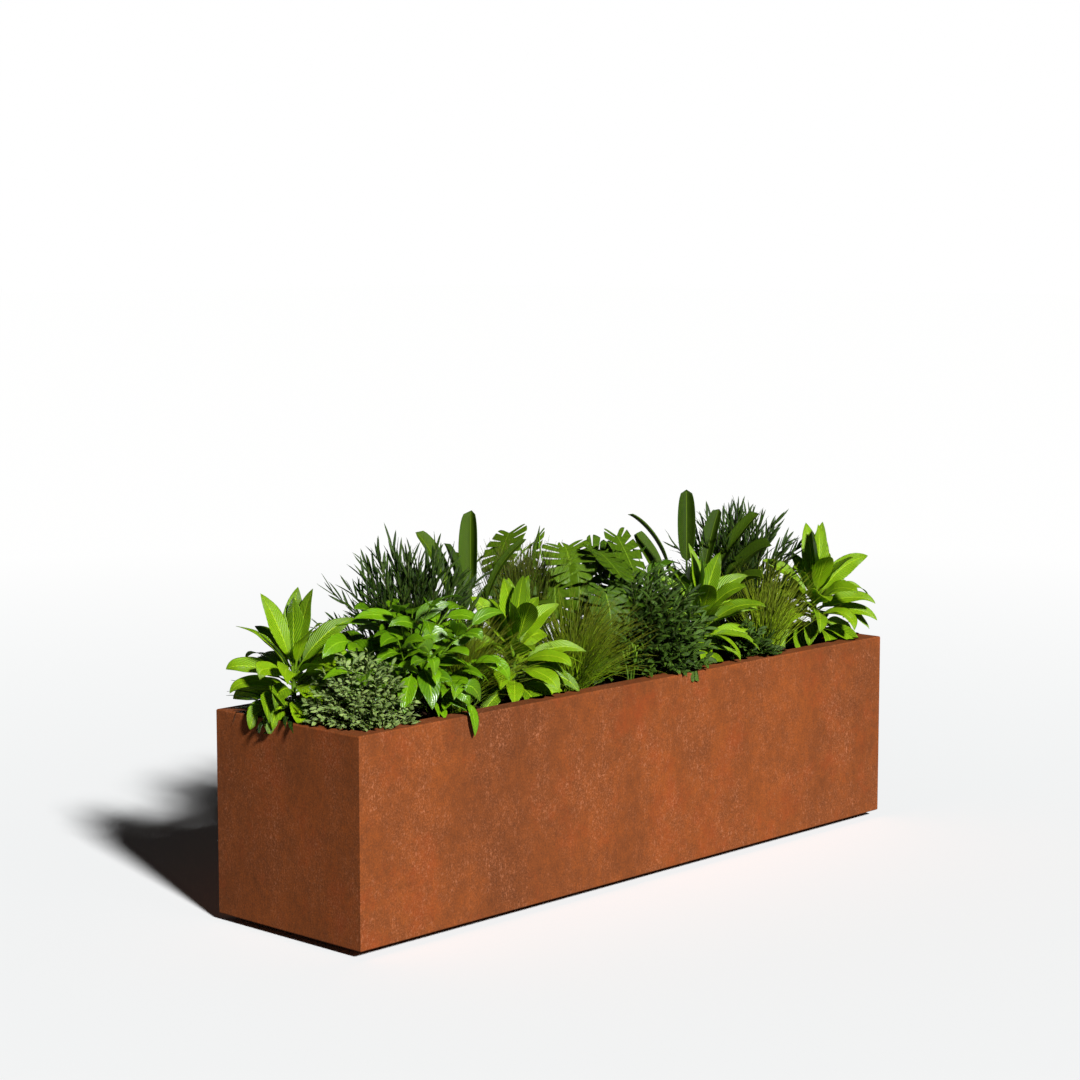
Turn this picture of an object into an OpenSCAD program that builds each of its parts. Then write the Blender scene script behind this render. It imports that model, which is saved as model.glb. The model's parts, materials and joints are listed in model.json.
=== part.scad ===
// Weathering-steel planter box on levelling feet, filled and planted.
// Origin: middle of the footprint, on the ground. +X along the length, +Y to the back, +Z up.

/* [Steel box] */
// Outside length of the box
box_length = 2000; // [1500:50:3000]
// Outside width of the box, front to back
box_width = 500; // [400:10:800]
// Height of the walls, without the feet
box_height = 500; // [380:10:800]
// Thickness of the weathering-steel sheet
sheet = 3; // [2:0.5:5]
// Width of the rim that turns inward at the top
rim_width = 50; // [30:1:70]
// Depth of the lip that turns down at the rim's inner edge
rim_lip = 20; // [10:1:28]
// Width of the hem that turns inward at the bottom
hem_width = 40; // [25:1:55]
// Outside radius of the folds
fold_radius = 4; // [2:0.5:8]
// Leg of the corner plates under the rim
gusset_leg = 38; // [25:1:40]

/* [Base] */
// Width of the tubes that carry the base
bearer_width = 60; // [40:1:80]
// Height of the tubes that carry the base
bearer_height = 30; // [28:1:60]
// Wall of the tubes that carry the base
bearer_wall = 2.5; // [1.5:0.5:4]
// Thickness of the flat bars under the base
base_bar_thick = 5; // [3:1:10]
// Height of the flat bars under the base
base_bar_height = 25; // [15:1:28]
// Distance of those bars from the middle of the box
base_bar_offset = 80; // [50:5:110]

/* [Inner frame] */
// Thickness of the upright ribs on the long walls
rib_thick = 5; // [3:1:10]
// How far a rib stands off its wall
rib_depth = 40; // [30:1:60]
// Height of the cross ties above the base
tie_level = 220; // [120:10:300]
// Height of a cross tie bar
tie_height = 40; // [25:1:60]
// Thickness of a cross tie bar
tie_thick = 5; // [3:1:10]
// Space between the end of a tie and the wall
tie_end_gap = 5; // [2:1:15]
// Diameter of the tie bolts
tie_bolt_d = 10; // [8:2:12]
// Clearance of a tie bolt in its hole, on the diameter
tie_bolt_clearance = 1; // [0.5:0.5:2]

/* [Levelling feet] */
// Clear height under the walls with the feet wound right in
ground_gap = 19; // [17:1:40]
// Diameter of a foot pad
pad_d = 60; // [40:1:80]
// Thickness of a foot pad at its edge
pad_edge = 4; // [3:1:8]
// Height of a foot pad at its socket
pad_height = 8; // [7:1:12]
// Diameter of the pad's socket boss
pad_boss_d = 26; // [20:1:36]
// Diameter of the threaded stud
stud_d = 12; // [10:2:16]
// Running clearance of the stud, on the diameter
stud_clearance = 0.2; // [0.1:0.05:0.6]
// Space left above the stud, inside the tube
stud_top_gap = 1.5; // [1:0.5:5]
// Height of the weld nut inside the tube
weld_nut_height = 12; // [8:1:16]
// Height of the lock nut under the tube
lock_nut_height = 8; // [6:1:9]
// Distance of a foot from the end of the box
foot_from_end = 95; // [85:5:200]
// Distance of a foot from the front or the back of the box
foot_from_side = 85; // [75:5:120]

/* [Drainage] */
// Number of drain outlets in the base
drain_count = 4; // [2:2:8]
// Distance between neighbouring drain outlets
drain_pitch = 400; // [200:10:500]
// Inside diameter of a drain outlet
drain_bore_d = 16; // [10:1:24]
// Wall of a drain outlet
drain_wall = 2.5; // [1.5:0.5:4]
// Diameter of a drain outlet's collar
drain_collar_d = 40; // [32:1:50]
// Thickness of a drain outlet's collar
drain_collar = 3; // [2:0.5:5]
// Length of a drain outlet below the base
drain_drop = 22; // [10:1:30]
// Clearance of a drain outlet in its hole, on the diameter
drain_clearance = 0.4; // [0.2:0.1:1]
// Depth of the pebble layer
pebble_depth = 30; // [20:5:80]
// Thickness of the filter fleece
fleece_thick = 2; // [1:0.5:4]

/* [Planting] */
// Depth of the bark mulch
mulch_depth = 15; // [10:1:40]
// Distance of the mulch below the rim
mulch_below_rim = 30; // [20:1:80]
// Space kept between neighbouring plants
crown_gap = 4; // [2:1:20]
// Diameter of a plant where it leaves the ground
stem_d = 36; // [20:1:50]
// Height of the lime rosettes
rosette_height = 335; // [200:5:500]
// Height of the dense silver shrub
silver_height = 215; // [120:5:300]
// Height of the glossy plant
glossy_height = 330; // [200:5:500]
// Height of the tall grass
tall_grass_height = 370; // [200:5:500]
// Height of the short grasses
short_grass_height = 250; // [120:5:350]
// Height of the fine-leaved shrub
fine_shrub_height = 300; // [150:5:400]
// Height of the low shrub
low_shrub_height = 120; // [60:5:200]
// Height of the feather-leaved shrubs
feather_height = 450; // [250:5:600]
// Height of the paddle-leaved plants
paddle_height = 460; // [250:5:600]
// Height of the split-leaved plant
split_leaf_height = 400; // [250:5:500]
// Height of the laurel
laurel_height = 300; // [150:5:400]

/* [Hidden] */
$fn = 48;
touch = 0.3;                                  // space between pieces that do not bear on each other
inner_length = box_length - 2 * sheet;
inner_width = box_width - 2 * sheet;
hem_top = ground_gap + sheet;
base_under = hem_top + bearer_height;
base_top = base_under + sheet;
rim_top = ground_gap + box_height;
mulch_top = rim_top - mulch_below_rim;
soil_top = mulch_top - mulch_depth;
pebble_top = base_top + pebble_depth;
soil_under = pebble_top + fleece_thick;
rib_top = soil_top - 10;

// The feet stand in pairs under the three tubes.
bearer_x = box_length / 2 - foot_from_end;
bearer_places = [-bearer_x, 0, bearer_x];
foot_y = box_width / 2 - foot_from_side;
stud_top = base_under - bearer_wall - stud_top_gap;

// Ribs and ties stand a third of the way between the tubes, clear of the outlets.
tie_places = [for (i = [-1 : 1]) i * 2 * bearer_x / 3];
tie_z = base_top + tie_level;
tie_bolt_y = inner_width / 2 - rib_depth / 2;
tie_hole_d = tie_bolt_d + tie_bolt_clearance;
bolt_across = 1.7 * tie_bolt_d;
bolt_head = 0.65 * tie_bolt_d;
bolt_nut = 0.8 * tie_bolt_d;
nut_across = 1.55 * stud_d;
hex = 2 / sqrt(3);                            // across corners for one across flats

drain_places = [for (i = [0 : drain_count - 1]) (i - (drain_count - 1) / 2) * drain_pitch];
drain_pipe_d = drain_bore_d + 2 * drain_wall;
drain_hole_d = drain_pipe_d + drain_clearance;

// Planting: two rows of slots, each slot [share of the row, height, fullness].
bed_length = box_length - 2 * rim_width;
bed_width = box_width - 2 * rim_width;
front_row = [
    [10, silver_height, 0.95],
    [9.5, glossy_height, 0.8],
    [7.5, short_grass_height, 0.6],
    [10.5, rosette_height, 0.8],
    [12, short_grass_height, 0.7],
    [15, fine_shrub_height, 0.95],
    [10.5, rosette_height, 0.8],
    [5, low_shrub_height, 0.9],
    [9, short_grass_height, 0.7],
    [11, rosette_height, 0.8]
];
back_row = [
    [11, rosette_height, 0.8],
    [17, feather_height, 0.75],
    [14, paddle_height, 0.5],
    [9, tall_grass_height, 0.6],
    [18, split_leaf_height, 0.85],
    [6, laurel_height, 0.8],
    [10, paddle_height, 0.5],
    [15, feather_height, 0.75]
];
function share_before(row, i) = i <= 0 ? 0 : row[i - 1][0] + share_before(row, i - 1);
function slot_length(row, i) = row[i][0] / share_before(row, len(row)) * bed_length;
function slot_x(row, i) =
    -bed_length / 2 + share_before(row, i) / share_before(row, len(row)) * bed_length
    + slot_length(row, i) / 2;
function crown_radius(row, i) = (min(slot_length(row, i), bed_width / 2) - crown_gap) / 2;

STEEL = "#a3562e";
STEEL_DARK = "#7c4326";
ZINC = "#b9bdc0";

// ---------- walls ----------

// Waste outside a fold: a square corner less its quarter round.
module fold_waste() {
    difference() {
        translate([-1, -1]) square(fold_radius + 1);
        translate([fold_radius, fold_radius]) circle(fold_radius);
    }
}

// Section of a wall: hem, wall, rim and lip, from the outer face inward.
module wall_section() {
    difference() {
        union() {
            square([sheet, box_height]);
            square([hem_width, sheet]);
            translate([0, box_height - sheet]) square([rim_width, sheet]);
            translate([rim_width - sheet, box_height - rim_lip]) square([sheet, rim_lip]);
        }
        fold_waste();
        translate([0, box_height]) mirror([0, 1]) fold_waste();
        translate([rim_width, box_height]) rotate(180) fold_waste();
    }
}

// A wall, mitred at both ends, with its outer face towards -Y.
module wall(run, across) {
    reach = rim_width + hem_width;
    translate([0, -across / 2, ground_gap])
        intersection() {
            translate([-run / 2, 0, 0]) rotate([90, 0, 90]) linear_extrude(run) wall_section();
            translate([0, 0, -1])
                linear_extrude(box_height + 2)
                    polygon([
                        [-run / 2, 0], [run / 2, 0],
                        [run / 2 - reach, reach], [-run / 2 + reach, reach]
                    ]);
        }
}

module front_panel() { color(STEEL) wall(box_length, box_width); }
module back_panel() { color(STEEL) rotate(180) wall(box_length, box_width); }
module left_panel() { color(STEEL) rotate(-90) wall(box_width, box_length); }
module right_panel() { color(STEEL) rotate(90) wall(box_width, box_length); }

// Corner plates that tie the rim's mitres together from below.
module rim_gussets() {
    color(STEEL_DARK)
        for (sx = [0, 1], sy = [0, 1])
            mirror([sx, 0, 0]) mirror([0, sy, 0])
                translate([-inner_length / 2, -inner_width / 2, rim_top - 2 * sheet])
                    linear_extrude(sheet)
                        polygon([[0, 0], [gusset_leg, 0], [0, gusset_leg]]);
}

// ---------- base ----------

module base_plate() {
    color(STEEL_DARK)
        difference() {
            translate([-inner_length / 2, -inner_width / 2, base_under])
                cube([inner_length, inner_width, sheet]);
            for (x = drain_places)
                translate([x, 0, base_under - 1]) cylinder(d = drain_hole_d, h = sheet + 2);
        }
}

// A tube across the box, bored underneath for its two feet.
module bearer(x) {
    color(STEEL_DARK)
        translate([x, 0, 0])
            difference() {
                translate([-bearer_width / 2, -inner_width / 2, hem_top])
                    cube([bearer_width, inner_width, bearer_height]);
                translate([bearer_wall - bearer_width / 2, -box_width / 2, hem_top + bearer_wall])
                    cube([
                        bearer_width - 2 * bearer_wall, box_width,
                        bearer_height - 2 * bearer_wall
                    ]);
                for (y = [-foot_y, foot_y])
                    translate([0, y, hem_top - 1])
                        cylinder(d = stud_d + stud_clearance, h = bearer_wall + 2);
            }
}

// Flat bars on edge under the base, one in each bay between the tubes.
module base_bar(y) {
    bay = bearer_x - bearer_width;
    color(STEEL_DARK)
        for (x = [-bearer_x, 0])
            translate([
                x + bearer_width / 2, y - base_bar_thick / 2, base_under - base_bar_height
            ])
                cube([bay, base_bar_thick, base_bar_height]);
}

// ---------- inner frame ----------

// Upright rib on a long wall, with its bolt hole; solid for cutting the soil.
module wall_rib(x, drilled = true) {
    translate([x - rib_thick, -inner_width / 2, base_top])
        difference() {
            cube([rib_thick, rib_depth, rib_top - base_top]);
            if (drilled)
                translate([-1, rib_depth / 2, tie_z - base_top])
                    rotate([0, 90, 0]) cylinder(d = tie_hole_d, h = rib_thick + 2);
        }
}

module wall_ribs(side) {
    color(STEEL_DARK)
        mirror([0, side, 0])
            for (x = tie_places) wall_rib(x);
}

// Flat bar from wall to wall that keeps the long walls from bowing.
module cross_tie(x, drilled = true) {
    color(STEEL_DARK)
        difference() {
            translate([x, tie_end_gap - inner_width / 2, tie_z - tie_height / 2])
                cube([tie_thick, inner_width - 2 * tie_end_gap, tie_height]);
            if (drilled)
                for (y = [-tie_bolt_y, tie_bolt_y])
                    translate([x - 1, y, tie_z])
                        rotate([0, 90, 0]) cylinder(d = tie_hole_d, h = tie_thick + 2);
        }
}

// Places something at every tie bolt, its local +Z along +X.
module at_tie_bolts() {
    for (x = tie_places, y = [-tie_bolt_y, tie_bolt_y])
        translate([x, y, tie_z]) rotate([0, 90, 0]) children();
}

module tie_bolts() {
    color(ZINC)
        at_tie_bolts() {
            translate([0, 0, -rib_thick - bolt_head])
                cylinder(d = bolt_across * hex, h = bolt_head, $fn = 6);
            translate([0, 0, -rib_thick])
                cylinder(d = tie_bolt_d, h = rib_thick + tie_thick + bolt_nut + 2);
        }
}

module tie_nuts() {
    color(ZINC)
        at_tie_bolts()
            translate([0, 0, tie_thick])
                difference() {
                    cylinder(d = bolt_across * hex, h = bolt_nut, $fn = 6);
                    translate([0, 0, -1]) cylinder(d = tie_bolt_d, h = bolt_nut + 2);
                }
}

// ---------- levelling feet ----------

// Places something at every foot.
module at_feet() {
    for (x = bearer_places, y = [-foot_y, foot_y]) translate([x, y, 0]) children();
}

module hex_nut(height) {
    difference() {
        cylinder(d = nut_across * hex, h = height, $fn = 6);
        translate([0, 0, -1]) cylinder(d = stud_d + stud_clearance, h = height + 2);
    }
}

module weld_nuts() {
    color(ZINC) at_feet() translate([0, 0, hem_top + bearer_wall]) hex_nut(weld_nut_height);
}

module lock_nuts() {
    color(ZINC) at_feet() translate([0, 0, hem_top - lock_nut_height]) hex_nut(lock_nut_height);
}

// Round pad with a sloping top and a blind socket for the stud.
module foot_pad(x, y) {
    color("#202225")
        translate([x, y, 0])
            difference() {
                rotate_extrude()
                    polygon([
                        [0, 0], [pad_d / 2, 0], [pad_d / 2, pad_edge],
                        [pad_boss_d / 2, pad_height], [0, pad_height]
                    ]);
                translate([0, 0, pad_edge]) cylinder(d = stud_d, h = pad_height);
            }
}

module foot_stud(x, y) {
    color(ZINC) translate([x, y, pad_edge]) cylinder(d = stud_d, h = stud_top - pad_edge);
}

// ---------- drainage and soil ----------

// Collar on the base and a short pipe through it.
module drain_outlet() {
    difference() {
        union() {
            translate([0, 0, base_top]) cylinder(d = drain_collar_d, h = drain_collar);
            translate([0, 0, base_under - drain_drop])
                cylinder(d = drain_pipe_d, h = drain_drop + sheet + drain_collar);
        }
        translate([0, 0, base_under - drain_drop - 1])
            cylinder(d = drain_bore_d, h = drain_drop + sheet + drain_collar + 2);
    }
}

module drain_outlets() {
    color("#2b2d30") for (x = drain_places) translate([x, 0, 0]) drain_outlet();
}

// A layer that fills the box from wall to wall.
module layer(low, high) {
    translate([-inner_length / 2, -inner_width / 2, low])
        cube([inner_length, inner_width, high - low]);
}

// The room that ribs, ties and bolts take out of a layer.
module inner_frame_room() {
    bolt_room = rib_thick + tie_thick + bolt_head + bolt_nut + 2;
    for (side = [0, 1]) mirror([0, side, 0]) for (x = tie_places) wall_rib(x, false);
    for (x = tie_places) cross_tie(x, false);
    at_tie_bolts()
        translate([0, 0, -rib_thick - bolt_head])
            cylinder(d = bolt_across * hex + 2, h = bolt_room);
}

module drainage_pebbles() {
    color("#8a5a3c")
        difference() {
            layer(base_top, pebble_top);
            inner_frame_room();
            for (x = drain_places)
                translate([x, 0, base_top - 1])
                    cylinder(d = drain_collar_d + 2 * touch, h = drain_collar + 1);
        }
}

module filter_fleece() {
    color("#d8d6cf")
        difference() {
            layer(pebble_top, soil_under);
            inner_frame_room();
        }
}

module potting_soil() {
    color("#2a1c14")
        difference() {
            layer(soil_under, soil_top);
            inner_frame_room();
        }
}

module bark_mulch() { color("#1c1410") layer(soil_top, mulch_top); }

// ---------- plants ----------

// Simple crown on a short stem: widest between two fifths and three quarters of its height.
module crown(row, i, row_y) {
    r = crown_radius(row, i);
    h = row[i][1];
    full = row[i][2];
    translate([slot_x(row, i), row_y, mulch_top])
        rotate_extrude()
            polygon([
                [0, 0], [stem_d / 2, 0], [r, h * (1 - full * 0.7)],
                [r, h * (0.45 + full * 0.3)], [r * full, h * 0.9], [0, h]
            ]);
}

module front_plant(i) { color("#5f7f2e") crown(front_row, i, -bed_width / 4); }
module back_plant(i) { color("#4a6b2a") crown(back_row, i, bed_width / 4); }

// ---------- pieces by name ----------

front_panel();
back_panel();
left_panel();
right_panel();
rim_gussets();
base_plate();
bearer(bearer_places[0]);  // bearer_left
bearer(bearer_places[1]);  // bearer_middle
bearer(bearer_places[2]);  // bearer_right
base_bar(-base_bar_offset);  // base_bar_front
base_bar(base_bar_offset);  // base_bar_back
wall_ribs(0);  // wall_ribs_front
wall_ribs(1);  // wall_ribs_back
cross_tie(tie_places[0]);  // cross_tie_left
cross_tie(tie_places[1]);  // cross_tie_middle
cross_tie(tie_places[2]);  // cross_tie_right
tie_bolts();
tie_nuts();
weld_nuts();
lock_nuts();
foot_pad(bearer_places[0], -foot_y);  // foot_pad_front_left
foot_pad(bearer_places[1], -foot_y);  // foot_pad_front_middle
foot_pad(bearer_places[2], -foot_y);  // foot_pad_front_right
foot_pad(bearer_places[0], foot_y);  // foot_pad_back_left
foot_pad(bearer_places[1], foot_y);  // foot_pad_back_middle
foot_pad(bearer_places[2], foot_y);  // foot_pad_back_right
foot_stud(bearer_places[0], -foot_y);  // foot_stud_front_left
foot_stud(bearer_places[1], -foot_y);  // foot_stud_front_middle
foot_stud(bearer_places[2], -foot_y);  // foot_stud_front_right
foot_stud(bearer_places[0], foot_y);  // foot_stud_back_left
foot_stud(bearer_places[1], foot_y);  // foot_stud_back_middle
foot_stud(bearer_places[2], foot_y);  // foot_stud_back_right
drain_outlets();
drainage_pebbles();
filter_fleece();
potting_soil();
bark_mulch();
front_plant(0);  // silver_shrub
front_plant(1);  // glossy_plant
front_plant(2);  // olive_grass
front_plant(3);  // lime_rosette_front_left
front_plant(4);  // arching_grass
front_plant(5);  // fine_shrub
front_plant(6);  // lime_rosette_front_middle
front_plant(7);  // low_shrub
front_plant(8);  // light_grass
front_plant(9);  // lime_rosette_front_right
back_plant(0);  // lime_rosette_back_left
back_plant(1);  // feather_shrub_left
back_plant(2);  // paddle_plant_left
back_plant(3);  // tall_grass
back_plant(4);  // split_leaf_plant
back_plant(5);  // laurel
back_plant(6);  // paddle_plant_right
back_plant(7);  // feather_shrub_right
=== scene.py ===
# %% [markdown]
# # A planted weathering-steel planter box
# The object is a long box of folded weathering steel that stands on six set-back levelling feet.
# It is filled with soil, dressed with dark bark and planted in two rows. The steel, the inner
# frame and the feet come ready-made as fixed parts in one frame, in metres. This lesson gives
# them their finishes and grows the mulch and the plants on top of them.
#
# A plant could be sculpted by hand, scattered from a library or grown from a rule. Here every
# leaf, blade, twig and chip of bark is one closed sleeve: a ring of points carried along a bent
# path, worked out for a whole plant at once with numpy arrays.

# %% Load the fixed parts
import json
import math
import bpy
import numpy as np
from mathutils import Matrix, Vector


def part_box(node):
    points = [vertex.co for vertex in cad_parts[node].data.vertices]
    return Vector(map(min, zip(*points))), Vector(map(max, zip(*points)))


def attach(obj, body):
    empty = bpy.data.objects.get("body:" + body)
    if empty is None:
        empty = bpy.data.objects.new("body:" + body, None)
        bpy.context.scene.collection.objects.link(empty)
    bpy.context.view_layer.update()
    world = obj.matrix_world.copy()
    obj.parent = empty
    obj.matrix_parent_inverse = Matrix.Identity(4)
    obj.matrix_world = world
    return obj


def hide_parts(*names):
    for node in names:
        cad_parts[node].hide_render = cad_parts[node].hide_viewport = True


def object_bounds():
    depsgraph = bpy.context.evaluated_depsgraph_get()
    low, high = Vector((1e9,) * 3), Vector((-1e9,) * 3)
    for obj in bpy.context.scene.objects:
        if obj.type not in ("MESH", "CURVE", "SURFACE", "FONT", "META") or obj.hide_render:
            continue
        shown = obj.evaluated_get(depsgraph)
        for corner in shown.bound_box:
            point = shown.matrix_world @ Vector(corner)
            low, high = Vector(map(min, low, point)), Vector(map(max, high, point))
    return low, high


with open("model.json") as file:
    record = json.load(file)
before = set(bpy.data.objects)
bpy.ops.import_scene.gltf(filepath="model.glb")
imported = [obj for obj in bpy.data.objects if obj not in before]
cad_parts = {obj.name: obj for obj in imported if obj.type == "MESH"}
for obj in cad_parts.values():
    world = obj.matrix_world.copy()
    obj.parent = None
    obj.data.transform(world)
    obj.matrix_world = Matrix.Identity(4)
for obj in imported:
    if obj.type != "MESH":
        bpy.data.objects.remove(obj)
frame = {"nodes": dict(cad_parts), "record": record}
cad_low, cad_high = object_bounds()
scene = bpy.context.scene
print("parts", len(frame["nodes"]), "box", tuple(cad_low), tuple(cad_high))

# %% [markdown]
# The eye stands in front of the left end, at the height of a person, with a short telephoto lens.
# The line of sight is given by its turn from the +Y direction and its dip below the horizon, as
# on the head of a tripod. A target to look at would also do, but two angles are easier to adjust.

# %% Camera
EYE = (-4.821, -4.401, 1.635)
EYE_TURN, EYE_DIP = 46.783, 6.783
LENS, SENSOR = 84.58, 36

camera_data = bpy.data.cameras.new("eye")
camera_data.lens = LENS
camera_data.sensor_width = SENSOR
camera = bpy.data.objects.new("eye", camera_data)
camera.location = EYE
camera.rotation_euler = (math.radians(90 - EYE_DIP), 0, math.radians(-EYE_TURN))
scene.collection.objects.link(camera)
scene.camera = camera
scene.view_settings.view_transform = "Standard"
print("camera at", EYE, "lens", LENS)

# %% [markdown]
# Finishes and the sky are wired from nodes. They could be drawn by hand in the node editor; here
# `wire` adds one node and plugs it in at the same time. An input given as another node's socket
# is linked, and anything else is set as a constant. That keeps each recipe about as long as it
# would be when said in words.

# %% Short way to wire nodes
def wire(tree, kind, inputs=None, **settings):
    """Add a node of a kind, link or set its inputs, and return it.

    An input goes by its name or its number. A MapRange reads 0 between 1 and 2, and gives it
    between 3 and 4; a Mix shares 6 and 7 out by 0.
    """
    made = tree.nodes.new("ShaderNode" + kind)
    for key, value in settings.items():
        setattr(made, key, value)
    for key, value in (inputs or {}).items():
        if isinstance(value, bpy.types.NodeSocket):
            tree.links.new(value, made.inputs[key])
        else:
            made.inputs[key].default_value = value
    return made


def finish_named(name):
    """A material with an empty tree and its output node."""
    material = bpy.data.materials.new(name)
    material.use_nodes = True
    material.node_tree.nodes.clear()
    return material, material.node_tree, material.node_tree.nodes.new("ShaderNodeOutputMaterial")


def surface(tree, output, **inputs):
    """The one shader that every finish ends in; names use _ for a space."""
    shader = wire(tree, "BsdfPrincipled", {k.replace("_", " "): v for k, v in inputs.items()})
    tree.links.new(shader.outputs[0], output.inputs["Surface"])


def sums(tree, operation, a, b=0.0, clamp=False):
    """One step of arithmetic on numbers or sockets."""
    return wire(tree, "Math", {0: a, 1: b}, operation=operation, use_clamp=clamp).outputs[0]


def ramp(tree, value, *stops):
    """A colour ramp through (place, colour) stops: the two ends first, then any between."""
    node = wire(tree, "ValToRGB", {"Fac": value})
    points = node.color_ramp.elements
    for i, (place, colour) in enumerate(stops):
        stop = points[i] if i < 2 else points.new(place)
        stop.position = place
        stop.color = (*colour, 1)
    return node.outputs["Color"]


def blend(tree, share, a, b):
    """Mix two colours: a where the share is 0, b where it is 1."""
    return wire(tree, "Mix", {0: share, 6: a, 7: b}, data_type="RGBA").outputs[2]


def grain(tree, place, scale, stretch=(1, 1, 1), detail=4.0, rough=0.6):
    """Noise on a place; a share under 1 in the stretch draws it out along that axis."""
    spot = wire(tree, "Mapping", {"Vector": place, "Scale": stretch}).outputs[0]
    inputs = {"Vector": spot, "Scale": scale, "Detail": detail, "Roughness": rough}
    return wire(tree, "TexNoise", inputs).outputs[0]


def rgb(r, g, b):
    """A colour picked on a screen, 0 to 255, as linear light."""
    return tuple(((c / 255 + 0.055) / 1.055) ** 2.4 for c in (r, g, b))


print("middle grey on a screen is", rgb(128, 128, 128), "in linear light")

# %% [markdown]
# One low sun from the front left does the modelling, softened to a disc a few degrees wide. A
# faint sky fills the shadows, and a weak panel behind keeps the far sides readable. A ring of
# soft boxes would flatten the leaves, so one strong light was chosen. The sky that the eye sees
# is plain white, so that the pale floor runs out into it.

# %% Light
def towards(turn, height):
    """Unit vector to a place in the sky: turn from -Y towards -X, and height, in degrees."""
    a, e = math.radians(turn), math.radians(height)
    return Vector((-math.sin(a) * math.cos(e), -math.cos(a) * math.cos(e), math.sin(e)))


def light(name, kind, direction, energy, distance=0.0, **settings):
    """A lamp whose -Z axis points back along the direction."""
    data = bpy.data.lights.new(name, kind)
    data.energy = energy
    for key, value in settings.items():
        setattr(data, key, value)
    lamp = bpy.data.objects.new(name, data)
    lamp.location = direction * distance
    lamp.rotation_euler = direction.to_track_quat("Z", "Y").to_euler()
    scene.collection.objects.link(lamp)
    return lamp


SUN_TURN, SUN_HEIGHT, SUN_DISC = 19.0, 29.2, 6.4  # degrees
SUN_POWER = 6.4
PANEL_WATTS, PANEL_DISTANCE = 45, 3.4
SKY_COLOUR, SKY_POWER = (0.93, 0.97, 1.0, 1), 0.014

SUNWARD = towards(SUN_TURN, SUN_HEIGHT)
light("sun", "SUN", SUNWARD, SUN_POWER, angle=math.radians(SUN_DISC), color=(1.0, 1.0, 0.992))
panel = light("low_back_panel", "AREA", Vector((0.2, 1.0, 0.16)).normalized(), PANEL_WATTS,
              distance=PANEL_DISTANCE, shape="RECTANGLE", size=4.0, size_y=0.6)

world = bpy.data.worlds.new("studio")
scene.world = world
world.use_nodes = True
sky = world.node_tree
sky.nodes.clear()
fill = wire(sky, "Background", {"Color": SKY_COLOUR, "Strength": SKY_POWER}).outputs[0]
white = wire(sky, "Background", {"Color": (1, 1, 1, 1)}).outputs[0]
to_eye = wire(sky, "LightPath").outputs["Is Camera Ray"]
wire(sky, "OutputWorld", {"Surface": wire(sky, "MixShader", {0: to_eye, 1: fill, 2: white}).outputs[0]})

# %% [markdown]
# Weathering steel has a living skin of fine rust. Its colour is a weighted sum of noises: wide
# upright bands where rain has run, clouds a hand wide, patches the size of a coin, fine upright
# streaks and sand. Redder blooms and a salt of pale dry specks gather over it in drifts. A painted
# picture would show its seams at the corners, so the pattern is worked out in space instead. The
# skin is matt and a little rough to the touch, so specks and sand also lift the surface.

# %% Weathering steel
def rust(name, dark, middle, bright, bloom, speck, speck_share):
    """Rust in layers.

    Body: bands, clouds, patches, streaks and sand, each times its share, choose dark to bright.
    Bloom: the redder colour, where the red noise is high, up to a little over half.
    Specks: salt dots and powdery sand, only where the drift lets them gather.
    Pits: the lowest sand goes back to the dark colour.
    """
    material, tree, output = finish_named(name)
    place = wire(tree, "TexCoord").outputs["Object"]
    bands = grain(tree, place, 2.4, (1, 1, 0.25), 2.0)
    clouds = grain(tree, place, 6.0, (1, 1, 0.9), 7.0, 0.66)
    patches = grain(tree, place, 50, (1, 1, 0.85), 6.0, 0.80)
    streaks = grain(tree, place, 120, (1, 1, 0.16), 3.0, 0.7)
    salt = grain(tree, place, 135, (1, 1, 0.7), 4.0, 0.8)
    sand = grain(tree, place, 260, (1, 1, 0.8), 2.0, 0.8)
    drift = grain(tree, place, 8.0, (1, 1, 0.6), 8.0, 0.78)
    red = grain(tree, place, 5.0, (1, 1, 0.9), 8.0, 0.74)
    body = 0.0
    layers = ((bands, 0.14), (clouds, 0.22), (patches, 0.30), (streaks, 0.06), (sand, 0.28))
    for layer, share in layers:
        body = sums(tree, "ADD", body, sums(tree, "MULTIPLY", layer, share))
    colour = ramp(tree, body, (0.39, dark), (0.61, bright), (0.50, middle))
    flush = wire(tree, "MapRange", {0: red, 1: 0.53, 2: 0.68, 4: 0.55}).outputs[0]
    colour = blend(tree, flush, colour, (*bloom, 1))
    gate = wire(tree, "MapRange", {0: drift, 1: 0.44, 2: 0.60}).outputs[0]
    dots = wire(tree, "MapRange", {0: salt, 1: 0.55, 2: 0.64}).outputs[0]
    powder = wire(tree, "MapRange", {0: sand, 1: 0.52, 2: 0.70, 4: 0.7}).outputs[0]
    fleck = sums(tree, "MULTIPLY", sums(tree, "MAXIMUM", dots, powder), gate)
    colour = blend(tree, sums(tree, "MULTIPLY", fleck, speck_share), colour, (*speck, 1))
    pits = wire(tree, "MapRange", {0: sand, 1: 0.42, 2: 0.28}).outputs[0]
    colour = blend(tree, sums(tree, "MULTIPLY", pits, 0.4), colour, (*dark, 1))
    relief = sums(tree, "ADD", sums(tree, "MULTIPLY", salt, 0.8), sums(tree, "MULTIPLY", sand, 0.6))
    lift = wire(tree, "Bump", {"Height": relief, "Strength": 0.6, "Distance": 0.0010}).outputs[0]
    dry = wire(tree, "MapRange", {0: patches, 3: 0.76, 4: 0.95}).outputs[0]
    surface(tree, output, Base_Color=colour, Roughness=dry, Normal=lift, Specular_IOR_Level=0.15)
    return material


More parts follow.
